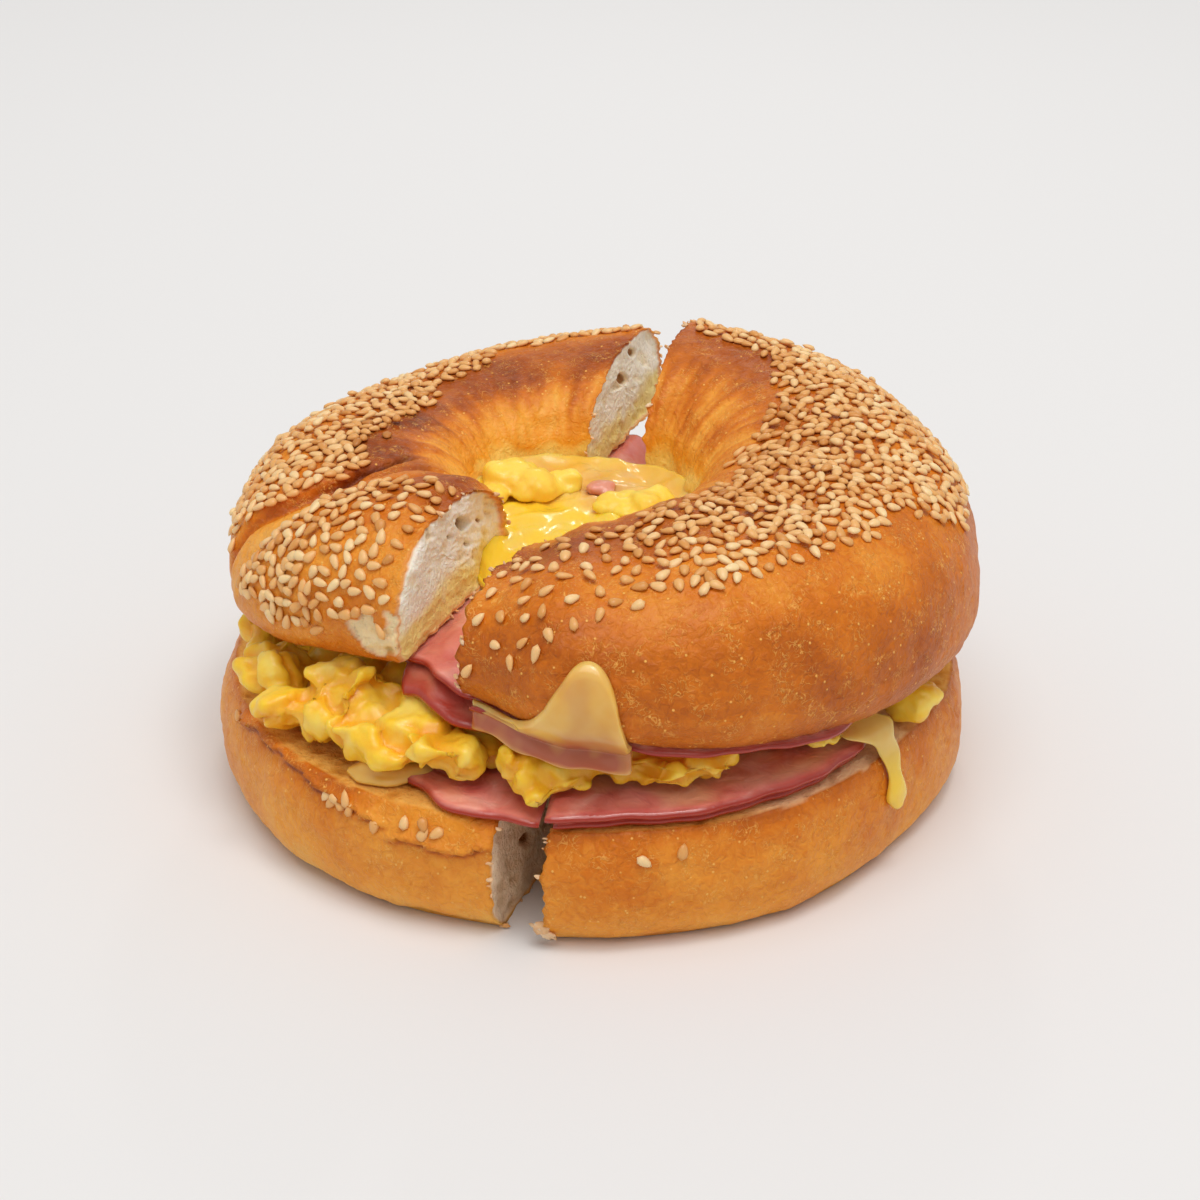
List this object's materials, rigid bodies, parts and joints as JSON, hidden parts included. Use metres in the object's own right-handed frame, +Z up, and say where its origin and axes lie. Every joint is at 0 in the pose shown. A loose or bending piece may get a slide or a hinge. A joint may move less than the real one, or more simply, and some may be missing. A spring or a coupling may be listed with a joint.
{
  "type": "egg, ham and cheese bagel sandwich",
  "caption": "Cut sesame bagel sandwich filled with scrambled egg, sliced ham and melted cheese, held together and standing on its flat heel.",
  "frame": {"origin": "middle of the bounding box, on the table", "axes": "+Z up, the cut front that the picture shows towards -Y, +X to the picture's right"},
  "size_m": [0.1216, 0.1222, 0.0586],
  "materials": {
    "crust": "satin",
    "ham": "gloss",
    "egg": "satin",
    "cheese": "gloss"
  },
  "bodies": {
    "root": {"heel_left": "crust", "heel_right": "crust", "crown_left": "crust", "crown_right": "crust", "ham_low_left": "ham", "ham_low_right_under": "ham", "ham_low_right": "ham", "ham_top_left": "ham", "ham_top_left_under": "ham", "ham_top_right": "ham", "ham_hole": "ham", "egg_left": "egg", "egg_right": "egg", "egg_hole_left": "egg", "egg_hole_right": "egg", "cheese_flap": "cheese", "cheese_run": "cheese", "cheese_drop": "cheese", "cheese_pool": "cheese"}
  },
  "joints": []
}
